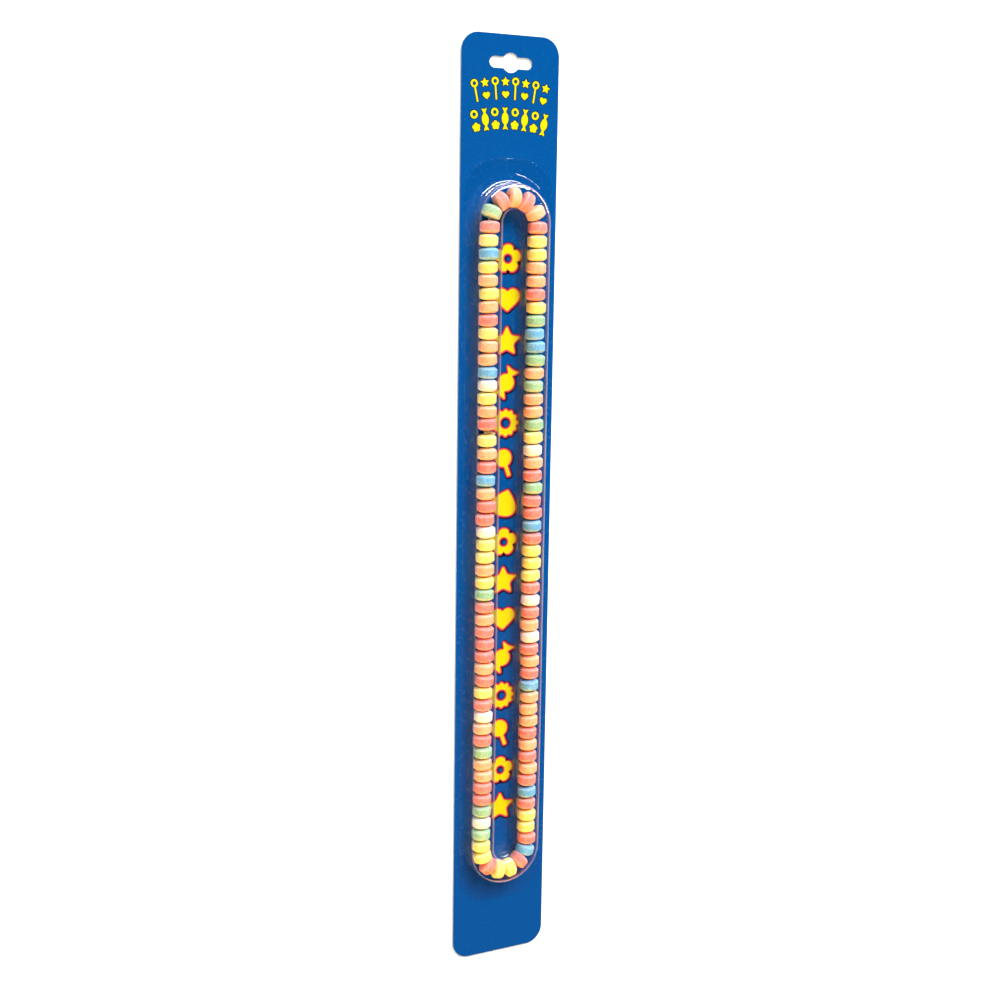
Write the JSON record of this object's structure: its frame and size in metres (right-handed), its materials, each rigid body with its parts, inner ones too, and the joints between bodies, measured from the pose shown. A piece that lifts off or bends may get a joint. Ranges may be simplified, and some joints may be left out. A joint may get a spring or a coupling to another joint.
{
  "type": "candy necklace pack",
  "caption": "Long hang card with a clear ring-shaped blister that holds a strung loop of pressed candy beads.",
  "frame": {"origin": "middle of the card's back face, which lies on the surface", "axes": "+X across the card to its right, +Y along the card towards the hang hole, +Z out of the printed face through the blister"},
  "size_m": [0.0746, 0.668, 0.0164],
  "materials": {
    "printed_card": "glossy printed board, deep blue with yellow shapes, pale cut edges",
    "clear_plastic": "clear thermoformed sheet with sharp highlights",
    "pressed_candy": "chalky pressed sugar in pink, orange, yellow, green, blue and white",
    "elastic_thread": "translucent tan elastic"
  },
  "bodies": {
    "root": {"backing_card": "printed_card", "blister": "clear_plastic", "candy_beads": "pressed_candy", "elastic": "elastic_thread"}
  },
  "joints": []
}
